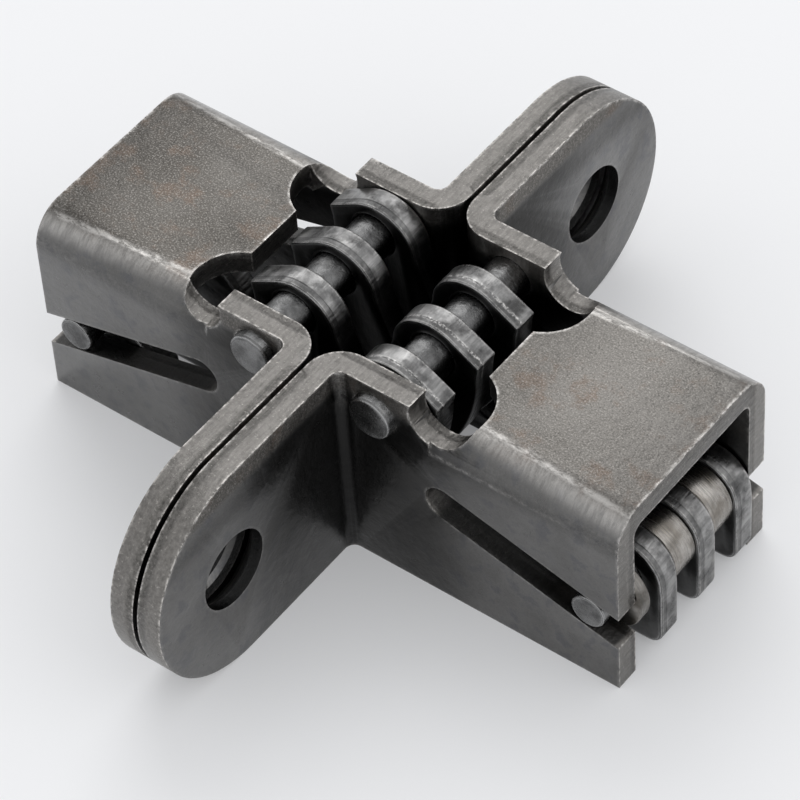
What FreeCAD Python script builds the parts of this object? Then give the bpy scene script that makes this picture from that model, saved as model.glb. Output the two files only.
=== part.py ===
# Concealed crossed-link hinge, closed: two stamped leaves, mouth to mouth, joined by six link plates.
# Frame: origin under the middle of the hinge, X through the depth, Y ear to ear, Z up. Millimetres.
import FreeCAD, Part
import math
import os
import re

import Sketcher

doc = FreeCAD.newDocument("concealed_hinge")
sizes = doc.addObject("Spreadsheet::Sheet", "Sizes")

SIZES = {
    # leaf, one bent piece of sheet
    "mouth_gap": 0.3,            # between the ears of the two leaves
    "sheet_thick": 1.5,
    "channel_wide": 13.6,        # outside the side walls
    "channel_high": 13.0,        # top of the web
    "wall_high": 14.0,           # ears and the front of the side walls
    "leaf_deep": 19.42,          # mouth face to rear edge
    "web_bend_inner": 0.7,
    "ear_bend_inner": 0.6,
    "ear_span": 45.0,
    "screw_spacing": 32.7,
    "screw_radius": 2.4,
    "screw_sink": 0.85,
    # relief between web, walls and ears
    "channel_start": 7.0,
    "tongue_front": 8.0,
    "web_lobe_x": 6.9,
    "web_lobe_inset": 0.7,       # from the inside of the side wall
    "web_lobe_radius": 2.85,
    "wall_lobe_x": 8.0,
    "wall_lobe_z": 13.4,
    "wall_lobe_radius": 1.7,
    # slot in each side wall
    "slot_front": 8.23,
    "slot_slope": 14.8,
    "slot_clear": 0.07,
    # pins
    "fixed_pin_x": 4.0,
    "fixed_pin_z": 12.0,
    "fixed_pin_radius": 1.35,
    "fixed_pin_proud": 0.6,
    "slide_pin_x": 17.57,
    "slide_pin_z": 4.96,
    "slide_pin_radius": 1.06,
    "centre_pin_z": 1.8,
    "centre_pin_radius": 0.8,
    "press_clear": 0.02,         # pin in a hole that it doesn't turn in
    "run_clear": 0.05,           # pin in a hole that turns on it
    # link plates and what spaces them
    "plate_count": 6.0,
    "plate_gap": 0.22,
    "link_top": 14.1,
    "hub_radius": 2.6,
    "hub_shift": 0.15,
    "hub_back": 3.05,
    "facet_angle": 31.0,
    "hub_rear_drop": 0.7,
    "hub_rear_lean": 0.15,
    "arm_bulge_radius": 14.0,
    "centre_hub_radius": 1.65,
    "strip_top": 1.6,
    "hollow_radius": 1.75,
    "hollow_x": 11.1,
    "arm_foot_x": 3.2,
    "arm_foot_radius": 3.4,
    "arm_inner_x": 1.45,
    "arm_inner_rise": 2.2,
    "tail_radius": 2.33,
    "tail_flat": 0.6,            # below the slide pin, where the rear of the tail turns straight
    "heel_reach": 2.38,
    "heel_low": 0.35,
    "heel_round": 0.9,
    "bushing_radius": 2.2,
    "washer_thick": 0.9,
    "end_float": 0.1,            # slide pin to wall, and spacer to plate
}
for row, (name, value) in enumerate(SIZES.items(), start=1):
    sizes.set(f"A{row}", name)
    sizes.set(f"B{row}", str(value))
    sizes.setAlias(f"B{row}", name)
doc.recompute()


def sheet(text):
    """Write each size named in an expression as a reference to the sheet."""
    return re.sub(r"[a-z_]+", lambda word: "Sizes." * (word.group() in SIZES) + word.group(), text)


def number(text):
    """The value of an expression on the sheet's sizes."""
    return float(sizes.evalExpression(sheet(text)))


def bind(thing, slot, text):
    thing.setExpression(slot, sheet(text))


# Places worked out from the sizes, as expressions.
MOUTH = "mouth_gap / 2"
REAR = "( mouth_gap / 2 + leaf_deep )"
INNER_HALF = "( channel_wide / 2 - sheet_thick )"
PITCH = "( ( channel_wide - 2 * sheet_thick ) / plate_count )"
WEB_UNDER = "( channel_high - sheet_thick )"
PLATE_THICK = f"( {PITCH} - plate_gap )"
WEB_LOBE_Y = f"( {INNER_HALF} - web_lobe_inset )"


def new_body(name):
    body = doc.addObject("PartDesign::Body", name)
    body.Label = name
    return body


def plane(body, role):
    return next(f for f in body.Origin.OriginFeatures if f.Role == role)


def new_sketch(body, name, role, offset=None):
    """A sketch on one of the body's own origin planes, moved off it by the expression offset."""
    sketch = body.newObject("Sketcher::SketchObject", name)
    sketch.AttachmentSupport = (plane(body, role), [""])
    sketch.MapMode = "FlatFace"
    if offset:
        bind(sketch, ".AttachmentOffset.Base.z", offset)
    return sketch


def pin_point(sketch, edge, end, x, y):
    """Hold one end of an edge, or a circle's centre, at x and y."""
    for kind, text in (("DistanceX", x), ("DistanceY", y)):
        index = sketch.addConstraint(Sketcher.Constraint(kind, -1, 1, edge, end, number(text)))
        bind(sketch, f"Constraints[{index}]", text)


def add_circle(sketch, x, y, radius):
    centre = FreeCAD.Vector(number(x), number(y), 0)
    edge = sketch.addGeometry(Part.Circle(centre, FreeCAD.Vector(0, 0, 1), number(radius)))
    index = sketch.addConstraint(Sketcher.Constraint("Radius", edge, number(radius)))
    bind(sketch, f"Constraints[{index}]", radius)
    pin_point(sketch, edge, 3, x, y)


def arc_between(a, b, radius, turn):
    """The shorter arc from a to b; turn is 1 when it runs anticlockwise, -1 when clockwise."""
    chord = b - a
    half = chord.Length / 2
    rise = math.sqrt(max(radius * radius - half * half, 0.0))
    side = FreeCAD.Vector(-chord.y, chord.x, 0).normalize() * turn
    centre = (a + b) * 0.5 + side * rise
    angles = [math.atan2(p.y - centre.y, p.x - centre.x) for p in (a, b)]
    first, last = angles if turn > 0 else reversed(angles)
    if last < first:
        last += 2 * math.pi
    circle = Part.Circle(centre, FreeCAD.Vector(0, 0, 1), radius)
    return Part.ArcOfCircle(circle, first, last)


def add_outline(sketch, corners):
    """A closed outline. Each corner is (x, y), reached by a line, or (x, y, radius, turn), by an arc."""
    points = [FreeCAD.Vector(number(c[0]), number(c[1]), 0) for c in corners]
    ends = []
    for index, corner in enumerate(corners):
        a, b = points[index - 1], points[index]
        if len(corner) == 2:
            edge = sketch.addGeometry(Part.LineSegment(a, b))
            ends.append((edge, 1, 2))
            continue
        radius, turn = corner[2:]
        edge = sketch.addGeometry(arc_between(a, b, number(radius), turn))
        ends.append((edge, 1, 2) if turn > 0 else (edge, 2, 1))
        rule = sketch.addConstraint(Sketcher.Constraint("Radius", edge, number(radius)))
        bind(sketch, f"Constraints[{rule}]", radius)
    for index, corner in enumerate(corners):
        edge, _, tip = ends[index]
        after, root, _ = ends[(index + 1) % len(ends)]
        sketch.addConstraint(Sketcher.Constraint("Coincident", edge, tip, after, root))
        pin_point(sketch, edge, tip, corner[0], corner[1])


def pad(body, sketch, length, symmetric=False):
    feature = body.newObject("PartDesign::Pad", sketch.Name + "_pad")
    feature.Profile = sketch
    feature.Midplane = symmetric
    bind(feature, "Length", length)
    doc.recompute()
    return feature


def pocket(body, sketch, length, symmetric=True, back=False):
    """Cut a sketch out of the body, and stop if nothing went."""
    before = body.Shape.Volume
    feature = body.newObject("PartDesign::Pocket", sketch.Name + "_pocket")
    feature.Profile = sketch
    feature.Midplane = symmetric
    feature.Reversed = back
    bind(feature, "Length", length)
    doc.recompute()
    if not body.Shape.Volume < before:
        raise RuntimeError(f"{sketch.Name} cuts nothing")
    return feature


# ---------------------------------------------------------------- leaf housings
BEND_OUTER = "( web_bend_inner + sheet_thick )"
EAR_OUTER = "( ear_bend_inner + sheet_thick )"
EAR_CENTRE = "( ear_span / 2 - wall_high / 2 )"


def channel_section():
    """Half of the U section on its side of the middle, then the other half."""
    half = "( channel_wide / 2 )"
    return [
        (f"- {half}", "0"),
        (f"- {INNER_HALF}", "0"),
        (f"- {INNER_HALF}", f"{WEB_UNDER} - web_bend_inner"),
        (f"- {INNER_HALF} + web_bend_inner", WEB_UNDER, "web_bend_inner", -1),
        (f"{INNER_HALF} - web_bend_inner", WEB_UNDER),
        (INNER_HALF, f"{WEB_UNDER} - web_bend_inner", "web_bend_inner", -1),
        (INNER_HALF, "0"),
        (half, "0"),
        (half, f"channel_high - {BEND_OUTER}"),
        (f"{half} - {BEND_OUTER}", "channel_high", BEND_OUTER, 1),
        (f"- {half} + {BEND_OUTER}", "channel_high"),
        (f"- {half}", f"channel_high - {BEND_OUTER}", BEND_OUTER, 1),
    ]


def wall_and_ear(side):
    """Plan of one front wall, its bend and its ear; side is "" or "-"."""
    turn = 1 if side else -1
    sign = (lambda text: f"- ( {text} )") if side else (lambda text: text)
    end = "channel_start + 0.5"
    return [
        (end, sign(INNER_HALF)),
        (f"{MOUTH} + {EAR_OUTER}", sign(INNER_HALF)),
        (MOUTH, sign(f"{INNER_HALF} + {EAR_OUTER}"), EAR_OUTER, turn),
        (MOUTH, sign("ear_span / 2")),
        (f"{MOUTH} + sheet_thick", sign("ear_span / 2")),
        (f"{MOUTH} + sheet_thick", sign("channel_wide / 2 + ear_bend_inner")),
        (f"{MOUTH} + {EAR_OUTER}", sign("channel_wide / 2"), "ear_bend_inner", -turn),
        (end, sign("channel_wide / 2")),
    ]


def ear_corners(side):
    """What is cut off one ear, outside its fully round end."""
    sign = (lambda text: f"- ( {text} )") if side else (lambda text: text)
    turn = 1 if side else -1
    over = "ear_span / 2 + 1"
    return [
        (sign(EAR_CENTRE), "wall_high + 1"),
        (sign(EAR_CENTRE), "wall_high"),
        (sign("ear_span / 2"), "wall_high / 2", "wall_high / 2", turn),
        (sign(EAR_CENTRE), "0", "wall_high / 2", turn),
        (sign(EAR_CENTRE), "- 1"),
        (sign(over), "- 1"),
        (sign(over), "wall_high + 1"),
    ]


def web_cut_back():
    """Plan of the opening cut into the web: a straight tongue edge between two round lobes."""
    lobe = "sqrt( web_lobe_radius ^ 2 - ( tongue_front - web_lobe_x ) ^ 2 )"
    cusp = f"( {WEB_LOBE_Y} - {lobe} )"
    low = "channel_start - 1"
    widest = "web_lobe_x + web_lobe_radius"
    outer = f"( web_lobe_x + sqrt( web_lobe_radius ^ 2 - web_lobe_inset ^ 2 ) )"
    return [
        (low, INNER_HALF),
        (low, f"- {INNER_HALF}"),
        (outer, f"- {INNER_HALF}"),
        (widest, f"- {WEB_LOBE_Y}", "web_lobe_radius", 1),
        ("tongue_front", f"- {cusp}", "web_lobe_radius", 1),
        ("tongue_front", cusp),
        (widest, WEB_LOBE_Y, "web_lobe_radius", 1),
        (outer, INNER_HALF, "web_lobe_radius", 1),
    ]


def slot_outline():
    """The slot along its slope: round at the front, open past the rear edge."""
    half = "( slide_pin_radius + slot_clear )"
    rise = "( ( slide_pin_x - slot_front ) * tan( slot_slope ) + slide_pin_z )"
    out_x = f"( {REAR} + 2 )"
    out_z = "( slide_pin_z - ( mouth_gap / 2 + leaf_deep + 2 - slide_pin_x ) * tan( slot_slope ) )"
    up_x, up_z = f"{half} * sin( slot_slope )", f"{half} * cos( slot_slope )"
    tip_x, tip_z = f"{half} * cos( slot_slope )", f"{half} * sin( slot_slope )"
    return [
        (f"{out_x} - {up_x}", f"{out_z} - {up_z}"),
        (f"{out_x} + {up_x}", f"{out_z} + {up_z}"),
        (f"slot_front + {up_x}", f"{rise} + {up_z}"),
        (f"slot_front - {tip_x}", f"{rise} + {tip_z}", half, 1),
        (f"slot_front - {up_x}", f"{rise} - {up_z}", half, 1),
    ]


def housing(name):
    """One leaf: a U channel, its front walls bent out into two ears, with slots, relief and holes."""
    body = new_body(name)

    section = new_sketch(body, name + "_section", "YZ_Plane", "channel_start")
    add_outline(section, channel_section())
    pad(body, section, f"{REAR} - channel_start")

    plan = new_sketch(body, name + "_plan", "XY_Plane")
    for side in ("", "-"):
        add_outline(plan, wall_and_ear(side))
    pad(body, plan, "wall_high")

    ends = new_sketch(body, name + "_ear_ends", "YZ_Plane")
    for side in ("", "-"):
        add_outline(ends, ear_corners(side))
    pocket(body, ends, "4 * leaf_deep")

    web = new_sketch(body, name + "_web_opening", "XY_Plane", "wall_high + 1")
    add_outline(web, web_cut_back())
    depth = "wall_high + 1 - channel_high + sheet_thick + web_bend_inner"
    pocket(body, web, depth, symmetric=False)

    for word, sign in (("near", ""), ("far", "-")):
        outside = f"{sign} ( channel_wide / 2 + 1 )"
        relief = new_sketch(body, f"{name}_wall_relief_{word}", "XZ_Plane", outside)
        add_circle(relief, "wall_lobe_x", "wall_lobe_z", "wall_lobe_radius")
        pocket(body, relief, f"channel_wide / 2 + 1 - {WEB_LOBE_Y}", symmetric=False, back=bool(sign))

    slot = new_sketch(body, name + "_slot", "XZ_Plane")
    add_outline(slot, slot_outline())
    pocket(body, slot, "2 * channel_wide")

    bore = new_sketch(body, name + "_pin_bore", "XZ_Plane")
    add_circle(bore, "fixed_pin_x", "fixed_pin_z", "fixed_pin_radius + press_clear")
    pocket(body, bore, "2 * channel_wide")

    screws = new_sketch(body, name + "_screw_holes", "YZ_Plane")
    for side in ("", "-"):
        add_circle(screws, f"{side} screw_spacing / 2", "wall_high / 2", "screw_radius")
    drilled = pocket(body, screws, "4 * leaf_deep")

    rims = screw_rims(body)
    sinks = body.newObject("PartDesign::Chamfer", name + "_countersinks")
    sinks.Base = (drilled, rims)
    sinks.ChamferType = "Equal distance"
    bind(sinks, "Size", "screw_sink")
    doc.recompute()
    return body


def screw_rims(body):
    """Names of the two screw-hole edges on the mouth face."""
    names = []
    for index, edge in enumerate(body.Shape.Edges, start=1):
        if not isinstance(edge.Curve, Part.Circle):
            continue
        round_hole = abs(edge.Curve.Radius - number("screw_radius")) < 1e-6
        if round_hole and abs(edge.Curve.Center.x - number(MOUTH)) < 1e-6:
            names.append(f"Edge{index}")
    return names


def turn_round(body):
    """Stand a piece of the right side on the left: half a turn about Z."""
    flip = FreeCAD.Placement(FreeCAD.Vector(), FreeCAD.Rotation(FreeCAD.Vector(0, 0, 1), 180))
    body.Placement = flip.multiply(body.Placement)
    return body


right_housing = housing("right_housing")
left_housing = turn_round(housing("left_housing"))


# ---------------------------------------------------------------- link plates
def link_outline():
    """A crescent plate, fixed pin at +x: hub, arm down to the centre pin, strip, tail on the slide pin."""
    hub_x = "( fixed_pin_x - hub_shift )"
    hub_z = "( link_top - hub_radius )"
    corner_x = "( fixed_pin_x + hub_back )"
    flat_x = f"( {hub_x} + hub_radius * sin( facet_angle ) )"
    flat_z = f"( {hub_z} + hub_radius * cos( facet_angle ) )"
    corner_z = f"( {flat_z} - ( {corner_x} - {flat_x} ) * tan( facet_angle ) )"
    tail_x, tail_z = "( - slide_pin_x )", "slide_pin_z"
    rear_x = "( - slide_pin_x - heel_reach )"
    hollow_z = "( strip_top + hollow_radius )"
    diagonal = "tail_radius * cos( 45 )"
    return [
        (flat_x, flat_z),
        (f"{hub_x} - hub_radius", hub_z, "hub_radius", 1),
        ("- arm_inner_x", "centre_pin_z + arm_inner_rise"),
        ("- arm_foot_x", "strip_top", "arm_foot_radius", -1),
        ("- hollow_x", "strip_top"),
        ("- hollow_x - hollow_radius", hollow_z, "hollow_radius", -1),
        (f"{tail_x} + {diagonal}", f"{tail_z} + {diagonal}"),
        (tail_x, f"{tail_z} + tail_radius", "tail_radius", 1),
        (f"{tail_x} - tail_radius", tail_z, "tail_radius", 1),
        (rear_x, f"{tail_z} - tail_flat"),
        (rear_x, "heel_low + heel_round"),
        (f"{rear_x} + heel_round", "heel_low", "heel_round", 1),
        ("0", "centre_pin_z - centre_hub_radius"),
        ("centre_hub_radius", "centre_pin_z", "centre_hub_radius", 1),
        (f"{corner_x} - hub_rear_lean", f"{corner_z} - hub_rear_drop", "arm_bulge_radius", 1),
        (corner_x, corner_z),
    ]


def plate_middle(place):
    """Y of the middle of a plate; place runs from 1 beside the near wall to 6 beside the far one."""
    return f"- {INNER_HALF} + {PITCH} * ( {place} - 0.5 )"


def link(name, place):
    body = new_body(name)
    outline = new_sketch(body, name + "_outline", "XZ_Plane")
    add_outline(outline, link_outline())
    add_circle(outline, "fixed_pin_x", "fixed_pin_z", "fixed_pin_radius + run_clear")
    add_circle(outline, "0", "centre_pin_z", "centre_pin_radius + run_clear")
    add_circle(outline, "- slide_pin_x", "slide_pin_z", "slide_pin_radius + press_clear")
    pad(body, outline, PLATE_THICK, symmetric=True)
    bind(body, ".Placement.Base.y", plate_middle(place))
    return body


PLATE_PLACES = {"near": 1, "middle": 3, "far": 5}
LEFT_PLATE_PLACES = {"near": 5, "middle": 3, "far": 1}     # counted after the half turn


def left_link(name, place):
    """A left link is the right one turned round, so its place counts from the other wall."""
    body = link(name, place)
    body.setExpression(".Placement.Base.y", None)
    middle = number(plate_middle(place))
    body.Placement = FreeCAD.Placement(FreeCAD.Vector(0, middle, 0), FreeCAD.Rotation())
    return turn_round(body)


for word, place in PLATE_PLACES.items():
    link(f"right_link_{word}", place)
for word, place in LEFT_PLATE_PLACES.items():
    left_link(f"left_link_{word}", place)


# ---------------------------------------------------------------- pins and spacers
def rod(name, x, z, radius, y_low, y_high, bore=None):
    """A round bar along Y, with a bore through it if one is given."""
    body = new_body(name)
    ring = new_sketch(body, name + "_ring", "XZ_Plane", f"- ( {y_low} )")
    add_circle(ring, x, z, radius)
    if bore:
        add_circle(ring, x, z, bore)
    feature = pad(body, ring, f"( {y_high} ) - ( {y_low} )")
    feature.Reversed = True
    doc.recompute()
    return body


def pair_for_both_sides(build, stem):
    """One piece in the right leaf, and the same one turned round in the left leaf."""
    return build("right_" + stem), turn_round(build("left_" + stem))


PIN_END = f"( {INNER_HALF} - end_float )"


def fixed_pin(name):
    reach = "channel_wide / 2 + fixed_pin_proud"
    return rod(name, "fixed_pin_x", "fixed_pin_z", "fixed_pin_radius", f"- ( {reach} )", reach)


def slide_pin(name):
    """The length of the slide pin between the walls, where links and spacers sit on it."""
    return rod(name, "slide_pin_x", "slide_pin_z", "slide_pin_radius", f"- {PIN_END}", PIN_END)


def slide_pin_ends(name):
    """The two ends of the slide pin that run in the wall slots, flush with the walls."""
    body = new_body(name)
    for index, side in enumerate(("near", "far")):
        offset = "channel_wide / 2" if side == "near" else f"- {INNER_HALF}"
        ring = new_sketch(body, f"{name}_{side}", "XZ_Plane", offset)
        add_circle(ring, "slide_pin_x", "slide_pin_z", "slide_pin_radius")
        end = pad(body, ring, "sheet_thick")
        end.Reversed = True
        if index:
            end.AllowMultiFace = True
        doc.recompute()
    return body


pair_for_both_sides(fixed_pin, "fixed_pin")
pair_for_both_sides(slide_pin, "slide_pin")
pair_for_both_sides(slide_pin_ends, "slide_pin_ends")
rod("centre_pin", "0", "centre_pin_z", "centre_pin_radius", f"- {PIN_END}", PIN_END)


def washer(name):
    """The thin ring between a side wall and the first plate on the slide pin."""
    low = f"- {PIN_END}"
    bore = "slide_pin_radius + press_clear"
    return rod(name, "slide_pin_x", "slide_pin_z", "tail_radius", low, f"{low} + washer_thick", bore)


def bushing(before):
    """A turned bushing between the plates that stand at places before and before + 2."""
    low = f"{plate_middle(before)} + {PLATE_THICK} / 2 + end_float / 2"
    high = f"{plate_middle(before + 2)} - {PLATE_THICK} / 2 - end_float / 2"
    bore = "slide_pin_radius + press_clear"

    def build(name):
        return rod(name, "slide_pin_x", "slide_pin_z", "bushing_radius", low, high, bore)

    return build


pair_for_both_sides(washer, "wall_washer")
pair_for_both_sides(bushing(2), "bushing_inner")
pair_for_both_sides(bushing(4), "bushing_outer")


# ---------------------------------------------------------------- checks and files
doc.recompute()
pieces = [o for o in doc.Objects if o.TypeId == "PartDesign::Body"]
for thing in doc.Objects:
    if any(word in thing.State for word in ("Invalid", "Error")):
        raise RuntimeError(f"{thing.Name} failed: {thing.State}")
os.makedirs("parts", exist_ok=True)
for piece in pieces:
    shape = piece.Shape
    if shape.isNull() or not shape.isValid() or not shape.Solids:
        raise RuntimeError(f"{piece.Label} has no valid shape")
    shape.exportStep(f"parts/{piece.Label}.step")
    box = shape.BoundBox
    print(f"{piece.Label:24s} solids {len(shape.Solids)} volume {shape.Volume:8.1f} z {box.ZMin:6.2f} {box.ZMax:6.2f}")
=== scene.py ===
import math

import bmesh
import bpy
from mathutils import Matrix, Vector
from mathutils.bvhtree import BVHTree


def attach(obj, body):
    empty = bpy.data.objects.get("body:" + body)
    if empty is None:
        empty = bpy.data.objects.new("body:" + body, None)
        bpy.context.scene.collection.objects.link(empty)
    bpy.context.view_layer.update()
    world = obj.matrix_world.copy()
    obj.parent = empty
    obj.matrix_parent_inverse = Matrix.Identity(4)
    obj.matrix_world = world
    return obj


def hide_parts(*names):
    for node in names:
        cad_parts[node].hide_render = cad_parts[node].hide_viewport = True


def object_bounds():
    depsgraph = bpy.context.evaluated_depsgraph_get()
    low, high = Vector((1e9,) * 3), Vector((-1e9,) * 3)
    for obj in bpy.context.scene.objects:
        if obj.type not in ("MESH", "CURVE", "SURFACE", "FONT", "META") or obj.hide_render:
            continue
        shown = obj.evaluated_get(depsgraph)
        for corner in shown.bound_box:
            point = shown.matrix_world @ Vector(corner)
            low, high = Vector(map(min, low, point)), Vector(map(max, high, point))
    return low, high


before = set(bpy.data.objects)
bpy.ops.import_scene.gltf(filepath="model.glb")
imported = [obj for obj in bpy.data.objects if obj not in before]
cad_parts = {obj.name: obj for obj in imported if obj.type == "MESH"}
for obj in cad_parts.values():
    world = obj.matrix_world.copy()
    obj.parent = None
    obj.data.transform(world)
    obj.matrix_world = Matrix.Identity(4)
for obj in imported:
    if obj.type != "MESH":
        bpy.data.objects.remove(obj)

cad_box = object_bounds()
MM = 0.001


# ---- The two leaves -------------------------------------------------------------------------
# Each leaf is one blank of 1.5 mm steel sheet, pierced, then bent into a channel with two ears.
# It was oxide-blackened after forming. The webs kept a fine grain, and the sheared edges were
# rubbed bright. The bright lines along the bends are painted highlights.
SHEET_THICK = 1.5 * MM
EDGE_ROUNDING = 0.2 * MM
SMOOTH_ANGLE = math.radians(32)
COPLANAR = math.radians(0.5)
MERGE_WITHIN = 0.03 * MM
SLIVER = 0.01 * MM
THICKNESS_SLACK = 0.12 * MM


def copy_of(node):
    """The node's triangles, joined where they meet, as a bmesh of its own."""
    mesh = bmesh.new()
    mesh.from_mesh(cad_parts[node].data)
    bmesh.ops.remove_doubles(mesh, verts=mesh.verts, dist=MERGE_WITHIN)
    bmesh.ops.dissolve_degenerate(mesh, edges=mesh.edges, dist=SLIVER)
    mesh.normal_update()
    return mesh


def mark_cut_faces(mesh):
    """Material 1 goes to the sheared edges.

    They are the faces with more or less metal behind them than the sheet is thick.
    """
    tree = BVHTree.FromBMesh(mesh)
    for face in mesh.faces:
        start = face.calc_center_median() - face.normal * SLIVER
        distance = tree.ray_cast(start, -face.normal)[3] or 1.0
        face.material_index = int(abs(distance - SHEET_THICK) > THICKNESS_SLACK)


def mark_rims(mesh):
    """Material 1 goes to the faces that stand across a plate: its stamped rim and its bores."""
    for face in mesh.faces:
        face.material_index = int(abs(face.normal.y) < 0.5)


def finished(mesh, name, body, node, materials, rounding=EDGE_ROUNDING):
    """Turn a bmesh into the piece that stands for a node: planes merged, corners rounded over."""
    bmesh.ops.dissolve_limit(
        mesh, angle_limit=COPLANAR, verts=mesh.verts, edges=mesh.edges, delimit={"MATERIAL"}
    )
    data = bpy.data.meshes.new(name)
    mesh.to_mesh(data)
    mesh.free()
    data.shade_smooth()
    piece = bpy.data.objects.new(name, data)
    bpy.context.scene.collection.objects.link(piece)
    for material in materials:
        data.materials.append(material)
    corners = piece.modifiers.new("worn corners", "BEVEL")
    corners.width = rounding
    corners.segments = 2
    corners.limit_method = "ANGLE"
    corners.angle_limit = SMOOTH_ANGLE
    corners.use_clamp_overlap = True
    corners.miter_outer = "MITER_ARC"
    corners.harden_normals = True
    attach(piece, body)
    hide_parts(node)
    return piece


class Wire:
    """A socket that can be used in sums: each operator adds one Math node."""

    def __init__(self, recipe, socket):
        self.recipe = recipe
        self.socket = socket

    def maths(self, operation, *values):
        inputs = dict(enumerate(values))
        return self.recipe.node("ShaderNodeMath", {"operation": operation}, inputs)

    def __add__(self, other):
        return self.maths("ADD", self, other)

    def __sub__(self, other):
        return self.maths("SUBTRACT", self, other)

    def __mul__(self, other):
        return self.maths("MULTIPLY", self, other)

    def __truediv__(self, other):
        return self.maths("DIVIDE", self, other)

    def __pow__(self, other):
        return self.maths("POWER", self, other)

    def __rsub__(self, other):
        return self.maths("SUBTRACT", other, self)

    def __abs__(self):
        return self.maths("ABSOLUTE", self)

    __radd__ = __add__
    __rmul__ = __mul__

    def most(self, other):
        return self.maths("MAXIMUM", self, other)

    def ramp(self, low, high):
        """0 below low, 1 above high, smooth between."""
        settings = {"interpolation_type": "SMOOTHSTEP"}
        inputs = {"Value": self, "From Min": low, "From Max": high}
        return self.recipe.node("ShaderNodeMapRange", settings, inputs)

    def band(self, middle, half):
        """1 at the middle value, falling smoothly to 0 at half away from it."""
        return 1 - abs(self - middle).ramp(0.0, half)


class Recipe:
    """One material's nodes, all made by the method node()."""

    def __init__(self, name, metallic=1.0):
        self.material = bpy.data.materials.new(name)
        self.material.use_nodes = True
        self.tree = self.material.node_tree
        self.shader = self.tree.nodes["Principled BSDF"]
        self.shader.inputs["Metallic"].default_value = metallic
        place = self.node("ShaderNodeTexCoord", {}, {}, "Object")
        settings = {"operation": "SCALE"}
        inputs = {0: place, "Scale": 1 / MM}
        self.place = self.node("ShaderNodeVectorMath", settings, inputs, "Vector")
        self.x, self.y, self.z = (
            self.node("ShaderNodeSeparateXYZ", {}, {0: self.place}, axis) for axis in "XYZ"
        )

    def node(self, kind, settings, inputs, output=0):
        made = self.tree.nodes.new(kind)
        for name, value in settings.items():
            setattr(made, name, value)
        for key, value in inputs.items():
            if isinstance(value, Wire):
                self.tree.links.new(value.socket, made.inputs[key])
            else:
                made.inputs[key].default_value = value
        return Wire(self, made.outputs[output])

    def noise(self, per_mm, detail=4.0, rough=0.55, stretch=(1, 1, 1), seed=0.0):
        """Noise of so many lumps a millimetre, drawn out along an axis where stretch is small."""
        place = self.place
        if stretch != (1, 1, 1) or seed:
            settings = {"operation": "MULTIPLY_ADD"}
            inputs = {0: place, 1: stretch, 2: (seed, seed * 1.7, seed * 2.3)}
            place = self.node("ShaderNodeVectorMath", settings, inputs, "Vector")
        inputs = {"Vector": place, "Scale": per_mm, "Detail": detail, "Roughness": rough}
        return self.node("ShaderNodeTexNoise", {}, inputs, "Fac")

    def mix(self, share, first, second):
        """Blend of two colours."""
        inputs = {0: share, 6: first, 7: second}
        return self.node("ShaderNodeMix", {"data_type": "RGBA"}, inputs, 2)

    def corner(self, radius_mm=0.22):
        """1 on the crest of a sharp corner, 0 a little way off it."""
        soft = self.node("ShaderNodeBevel", {"samples": 6}, {"Radius": radius_mm * MM}, "Normal")
        plain = self.node("ShaderNodeNewGeometry", {}, {}, "True Normal")
        settings = {"operation": "DOT_PRODUCT"}
        lean = self.node("ShaderNodeVectorMath", settings, {0: soft, 1: plain}, "Value")
        return (1 - lean).ramp(0.006, 0.13)

    def bump(self, *layers):
        """Stack bumps: each layer is (height socket, depth in mm)."""
        normal = None
        for height, depth in layers:
            inputs = {"Height": height, "Distance": depth * MM, "Strength": 1.0}
            if normal:
                inputs["Normal"] = normal
            normal = self.node("ShaderNodeBump", {}, inputs, "Normal")
        return normal

    def finish(self, colour, roughness, normal):
        for name, wire in (("Base Color", colour), ("Roughness", roughness), ("Normal", normal)):
            self.tree.links.new(wire.socket, self.shader.inputs[name])
        return self.material


def grey(level, warmth=0.0):
    """A linear grey, made warmer or cooler."""
    return (level * (1 + warmth), level, level * (1 - 1.25 * warmth), 1.0)


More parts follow.
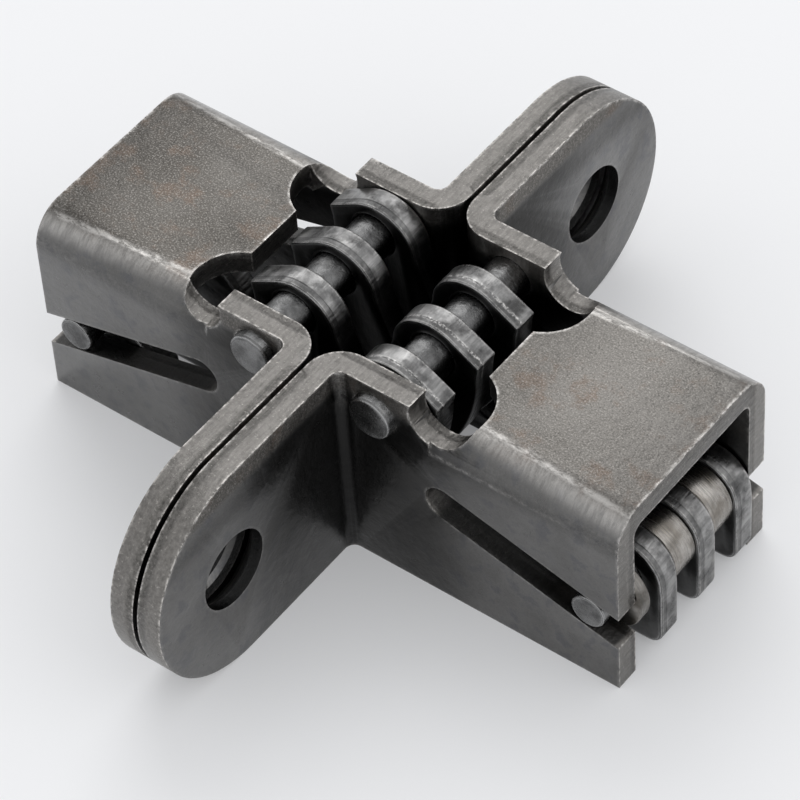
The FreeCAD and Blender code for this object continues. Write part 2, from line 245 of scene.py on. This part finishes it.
def leaf_skin():
    """Oxide-blackened sheet: grainy warm webs, smoother grey walls and ears, painted highlights on
    the bends, and painted shade under the bends, in the corners, creases and channel.
    """
    r = Recipe("blackened sheet")
    height = r.z
    web = height.ramp(12.3, 12.95)
    cloud = r.noise(0.22, 3, seed=3.0)
    patch = r.noise(0.9, 5, seed=8.0)
    rust = r.noise(0.45, 6, 0.65, seed=21.0)
    peel = r.noise(2.2, 3, 0.5)
    grain = r.noise(8.5, 3, 0.65)
    sparkle = r.noise(10.0, 3, 0.65, seed=5.0).ramp(0.47, 0.68)
    pits = r.noise(8.0, 3, 0.65, seed=15.0).ramp(0.5, 0.68)
    across = abs(r.y)
    ridge = across - abs(r.x) * 0.068
    broken = r.noise(2.6, 5, 0.75, stretch=(0.4, 1, 1)).ramp(0.36, 0.58)
    # Painted highlights: a broken bright line along the crest of each web bend, and a broad streaky
    # band down the bend.
    crest = ridge.band(4.32, 0.36) * web * broken
    bend = ridge.band(4.75, 0.85) * height.ramp(11.6, 12.3)
    streaks = r.noise(3.0, 4, 0.7, stretch=(1.6, 0.35, 0.35), seed=9.0).ramp(0.3, 0.7)
    crest = (crest * 0.75).most(bend * (0.25 + streaks * 0.3))
    shade_band = height.band(11.3, 1.3) * across.ramp(6.5, 6.75)
    scuff = r.noise(2.6, 6, 0.8, stretch=(0.25, 1, 1), seed=11.0).ramp(0.6, 0.75)
    # Random tone, plus a painted light slope: the last term paints the webs lighter towards +x.
    tone_and_light = 0.19 + (cloud - 0.5) * 0.10 + (patch - 0.5) * 0.08 + r.x * web * 0.0022
    depth_in = abs(r.x)
    # Painted shade in the corner where each ear bends off its wall, off the web.
    corner_shade = 1 - (abs(across - 8.5) ** 2 + (depth_in - 3.0) ** 2).ramp(4.0, 70.0)
    rubbed = r.noise(2.2, 6, 0.8, seed=2.0).ramp(0.38, 0.66)
    # This mask joins edge wear at the corners with the painted crest and bend highlights.
    worn = (r.corner(0.28) * rubbed * (0.3 + 0.7 * height.ramp(9.5, 12.5))).most(crest)
    dark = r.mix(tone_and_light.ramp(0.1, 0.3), grey(0.085, 0.01), grey(0.23, 0.015))
    dark = r.mix(patch.ramp(0.5, 0.66) * 0.5, dark, (0.085, 0.088, 0.1, 1))
    warm = r.mix(tone_and_light.ramp(0.1, 0.3), grey(0.055, 0.09), grey(0.18, 0.05))
    warm = r.mix(rust.ramp(0.5, 0.66) * 0.55, warm, (0.125, 0.088, 0.066, 1))
    skin = r.mix(web, dark, warm)
    skin = r.mix(shade_band * 0.5, skin, grey(0.05, 0.02))
    skin = r.mix(sparkle * (web * 0.5 + 0.1), skin, grey(0.3, 0.05))
    skin = r.mix(pits * (web * 0.4 + 0.15), skin, grey(0.04, 0.03))
    skin = r.mix(scuff * 0.12, skin, grey(0.4))
    # Paints that corner shade near black.
    skin = r.mix(corner_shade * (1 - web) * 0.88, skin, grey(0.026, 0.02))
    # Painted shade: the channel's inner walls below the web, the mouth between the two leaves and
    # the crease of each ear bend are painted near black.
    mouth = (1 - abs(r.x).ramp(0.9, 1.9)) * (1 - across.ramp(7.4, 8.2))
    crease = (1 - abs(r.x).ramp(2.1, 2.7)) * (1 - across.ramp(7.2, 7.9)) * 0.75
    inner_shade = ((1 - across.ramp(5.25, 5.5)) * (1 - height.ramp(11.2, 12.4))).most(mouth).most(crease)
    skin = r.mix(inner_shade * 0.85, skin, grey(0.012))
    # Lightens the worn corners and paints the crest and bend highlights.
    skin = r.mix(worn * 0.85, skin, grey(0.72, 0.03))
    roughness = 0.3 + web * 0.1 + (patch - 0.5) * 0.16 - worn * 0.06
    depth = web * 0.6 + 0.4
    normal = r.bump((patch, 0.05), (peel * depth, 0.035), (grain * depth, 0.014))
    return r.finish(skin, roughness, normal)


# In millimetres, as the materials count.
SCREW_Y = 16.35
SCREW_Z = 7.0
INNER_HALF = 5.3
MOUTH_HALF = 0.15


def sheared_edge():
    """The cut edge of the sheet: burnished by the punch, finely lined, with a torn stretch; painted
    shade darkens it low in the slots and in the screw holes.
    """
    r = Recipe("sheared edge")
    lines = r.noise(6.0, 4, 0.7, stretch=(1, 0.12, 1))
    tear = r.noise(3.0, 6, 0.75, seed=4.0)
    worn = r.corner(0.2)
    # Painted shade: within about 3 mm of each screw hole's axis the edges are painted near black.
    bore = ((abs(r.y) - SCREW_Y) ** 2 + (r.z - SCREW_Z) ** 2).ramp(9.0, 14.0)
    on_ear = abs(r.y).ramp(6.9, 8.2)
    through = (abs(r.x) - MOUTH_HALF) * on_ear + (abs(r.y) - INNER_HALF) * (1 - on_ear)
    through = through / (SHEET_THICK / MM)
    burnish = through.ramp(0.2, 0.42)
    lit = (tear.ramp(0.3, 0.7) + lines.ramp(0.3, 0.7) + burnish) / 3.0
    speck = r.noise(6.5, 3, 0.7, seed=19.0).ramp(0.58, 0.72)
    reach = abs(r.x)
    # Painted shade: the sheared edges low down between |x| 7.2 and 19.2 mm, in the slots, are
    # painted near black.
    slot_shade = reach.ramp(7.2, 8.2) * (1 - reach.ramp(19.2, 19.45)) * (1 - r.z.ramp(9.5, 10.5))
    shade = r.mix(lit, grey(0.06, 0.05), grey(0.25, 0.045))
    shade = r.mix(speck * 0.5, shade, grey(0.5, 0.05))
    shade = r.mix(worn * tear.ramp(0.42, 0.6) * 0.85, shade, grey(0.75, 0.04))
    # Paints the slot shade.
    shade = r.mix(slot_shade * 0.85, shade, grey(0.03))
    # The bores get the painted shade.
    shade = r.mix(bore, grey(0.03), shade)
    roughness = 0.34 + (tear - 0.5) * 0.3
    return r.finish(shade, roughness, r.bump((burnish, 0.06), (tear, 0.06), (lines, 0.04)))


leaf_materials = (leaf_skin(), sheared_edge())
for side in ("right", "left"):
    sheet = copy_of(f"{side}_housing")
    mark_cut_faces(sheet)
    finished(sheet, f"{side}_leaf", f"{side}_leaf", f"{side}_housing", leaf_materials)


# ---- The six link plates --------------------------------------------------------------------
# Each is a crescent stamped from 1.55 mm steel. Three turn on each fixed pin, and all six cross on
# the centre pin. Their flat faces are dark; the stamped rims are bright and lined across. Deep
# between the leaves, faces and rims alike are painted near black as shade.
PLATE_PITCH = 2 * INNER_HALF / 6
PLATE_ROUNDING = 0.16 * MM


def deep_shade(r):
    """1 deep between the leaves, where shade is painted in; 0 on the humps and tails."""
    return (1 - r.z.ramp(10.3, 13.4)) * (1 - abs(r.x).ramp(11.0, 15.0))


def plate_face():
    r = Recipe("plate face")
    cloud = r.noise(0.5, 4, seed=6.0)
    scratch = r.noise(2.4, 5, 0.75, stretch=(1, 1, 0.2), seed=7.0)
    worn = r.corner(0.3)
    shade = r.mix(cloud.ramp(0.35, 0.65), grey(0.03), grey(0.08))
    # Painted shade: deep between the leaves the faces are painted near black.
    shade = r.mix(deep_shade(r), shade, grey(0.008))
    shade = r.mix(worn * (1 - deep_shade(r)) * 0.85, shade, grey(0.65))
    return r.finish(shade, 0.34 + (scratch - 0.5) * 0.25, r.bump((cloud, 0.05), (scratch, 0.02)))


def plate_rim():
    """The rim: a smooth burnished band beside one face and a rougher torn band beside the other."""
    r = Recipe("plate rim")
    lines = r.noise(3.6, 5, 0.7, stretch=(1, 0.1, 1), seed=1.0)
    blotch = r.noise(0.9, 4, 0.6, seed=9.0)
    worn = r.corner(0.22)
    plates_in = (r.y + INNER_HALF) / PLATE_PITCH
    through = r.node("ShaderNodeMath", {"operation": "FRACT"}, {0: plates_in})
    torn = 1 - through.ramp(0.3, 0.36)
    lip = through.band(0.33, 0.09) * r.noise(5.0, 5, 0.8, seed=13.0).ramp(0.45, 0.62)
    lip = lip * r.x.ramp(0.0, 1.0) * r.z.ramp(11.0, 12.0)
    shade = r.mix(blotch.ramp(0.35, 0.62), grey(0.08, 0.01), grey(0.36, 0.01))
    shade = r.mix(lines.ramp(0.35, 0.65) * 0.6, shade, grey(0.13))
    shade = r.mix(torn * 0.5, shade, grey(0.06))
    # Painted shade: deep between the leaves the rims are painted near black.
    shade = r.mix(deep_shade(r), shade, grey(0.02))
    worn = worn * r.noise(2.5, 5, 0.75, seed=17.0).ramp(0.35, 0.6)
    shade = r.mix(worn.most(lip) * (1 - deep_shade(r)) * 0.9, shade, grey(0.8, 0.02))
    normal = r.bump((torn, -0.05), (blotch, 0.04), (lines, 0.05))
    return r.finish(shade, 0.3 + (blotch - 0.5) * 0.2, normal)


plate_materials = (plate_face(), plate_rim())
for side in ("right", "left"):
    for place in ("near", "middle", "far"):
        node = f"{side}_link_{place}"
        plate = copy_of(node)
        mark_rims(plate)
        name, body = f"{node}_plate", f"{side}_links"
        finished(plate, name, body, node, plate_materials, PLATE_ROUNDING)


# ---- Pins -----------------------------------------------------------------------------------
# Drawn steel rod. The fixed pins are pressed through both walls and stand proud with rounded-over
# heads; the slide pins end flush with the walls; the centre pin is hidden between the plates.
def pin_steel():
    r = Recipe("drawn pin steel")
    cloud = r.noise(0.7, 4, 0.6, seed=12.0)
    spots = r.noise(4.5, 4, 0.7, seed=2.0)
    worn = r.corner(0.2)
    shade = r.mix(cloud.ramp(0.35, 0.65), grey(0.08), grey(0.19))
    # Painted shade: low down between the walls, away from the tails, the pins are painted near
    # black.
    low = 1 - r.z.ramp(12.3, 13.4)
    inner = low * (1 - abs(r.y).ramp(5.2, 5.4)) * (1 - abs(r.x).ramp(11.0, 15.0))
    shade = r.mix(inner, shade, grey(0.01))
    shade = r.mix(worn * (1 - inner) * 0.85, shade, grey(0.6))
    return r.finish(shade, 0.28 + (spots - 0.5) * 0.2, r.bump((cloud, 0.04), (spots, 0.03)))


pin_material = pin_steel()
OTHER = {"right": "left", "left": "right"}
PINS = [("centre_pin", "left_links", 0.1)]
for side in ("right", "left"):
    PINS.append((f"{side}_fixed_pin", f"{side}_leaf", 0.22))
    PINS.append((f"{side}_slide_pin", f"{OTHER[side]}_links", 0.05))
    PINS.append((f"{side}_slide_pin_ends", f"{side}_pin_ends", 0.1))
for node, body, rounding in PINS:
    finished(copy_of(node), f"{node}_rod", body, node, (pin_material,), rounding * MM)


# ---- Bushings and washers on the slide pins ---------------------------------------------------
# Turned rings that keep the plates apart. The lathe left fine rings round them, and they have a
# warmer, shinier colour than the plates; the washers beside the walls are duller.
def turned_steel(name, dull):
    r = Recipe(name)
    rings = r.noise(9.0, 3, 0.7, stretch=(0.05, 1, 0.05))
    cloud = r.noise(0.8, 4, 0.6, seed=2.5)
    shade = r.mix(cloud.ramp(0.3, 0.7), grey(0.2 - dull, 0.10), grey(0.42 - dull, 0.05))
    shade = r.mix(rings.ramp(0.4, 0.7) * 0.5, shade, grey(0.12, 0.03))
    return r.finish(shade, 0.26 + dull + (rings - 0.5) * 0.25, r.bump((rings, 0.03)))


RING_ROUNDING = 0.1 * MM
ring_steel = turned_steel("turned bushing steel", 0.0)
dull_steel = turned_steel("washer steel", 0.12)
RINGS = (("bushing_inner", ring_steel), ("bushing_outer", ring_steel), ("wall_washer", dull_steel))
for side in ("right", "left"):
    body = f"{OTHER[side]}_links"
    for ring, material in RINGS:
        node = f"{side}_{ring}"
        name = f"{node}_ring"
        finished(copy_of(node), name, body, node, (material,), RING_ROUNDING)


# ---- Floor, light and camera ------------------------------------------------------------------
# A white table under a wide soft light, seen from above the near right-hand corner.
def floor():
    data = bpy.data.meshes.new("table")
    reach = 4.0
    corners = [(-reach, -reach, 0), (reach, -reach, 0), (reach, reach, 0), (-reach, reach, 0)]
    data.from_pydata(corners, [], [(0, 1, 2, 3)])
    table = bpy.data.objects.new("table", data)
    bpy.context.scene.collection.objects.link(table)
    table.location.z = cad_box[0].z - 0.02 * MM
    r = Recipe("white table", metallic=0.0)
    r.shader.inputs["Base Color"].default_value = (0.63, 0.634, 0.643, 1)
    r.shader.inputs["Emission Color"].default_value = (0.98, 0.985, 1.0, 1)
    r.shader.inputs["Emission Strength"].default_value = 0.22
    r.shader.inputs["Roughness"].default_value = 0.7
    r.shader.inputs["Specular IOR Level"].default_value = 0.2
    data.materials.append(r.material)


def soft_light(name, place, size, watts, colour=(1, 1, 1)):
    data = bpy.data.lights.new(name, "AREA")
    data.size = size
    data.energy = watts
    data.color = colour
    lamp = bpy.data.objects.new(name, data)
    bpy.context.scene.collection.objects.link(lamp)
    lamp.location = place
    lamp.rotation_euler = (-Vector(place)).to_track_quat("-Z", "Y").to_euler()


def sky(strength):
    world = bpy.data.worlds.new("studio")
    bpy.context.scene.world = world
    world.use_nodes = True
    back = world.node_tree.nodes["Background"]
    back.inputs["Color"].default_value = (0.985, 0.99, 1.0, 1)
    back.inputs["Strength"].default_value = strength


def camera():
    """Looks at the target from an azimuth, elevation and distance, and leans over by the roll."""
    azimuth, elevation, roll = (math.radians(a) for a in (40.137, 47.712, -4.159))
    target = Vector((-1.393, 1.751, 1.889)) * MM
    distance = 237.3 * MM
    level = math.cos(elevation)
    back = Vector((math.sin(azimuth) * level, -math.cos(azimuth) * level, math.sin(elevation)))
    right = Vector((math.cos(azimuth), math.sin(azimuth), 0))
    up = back.cross(right)
    lean, stand = math.sin(roll), math.cos(roll)
    axes = Matrix((right * stand + up * lean, up * stand - right * lean, back)).transposed()
    data = bpy.data.cameras.new("camera")
    data.lens = 190.85
    data.sensor_width = 36.0
    data.clip_start = 0.02
    data.clip_end = 20.0
    eye = bpy.data.objects.new("camera", data)
    bpy.context.scene.collection.objects.link(eye)
    eye.matrix_world = Matrix.Translation(target + back * distance) @ axes.to_4x4()
    bpy.context.scene.camera = eye


floor()
sky(0.84)
soft_light("window", (-0.35, 0.45, 0.6), 0.6, 2.1)
soft_light("fill", (0.5, 0.1, 0.45), 0.5, 0.5)
camera()
bpy.context.scene.view_settings.view_transform = "Standard"
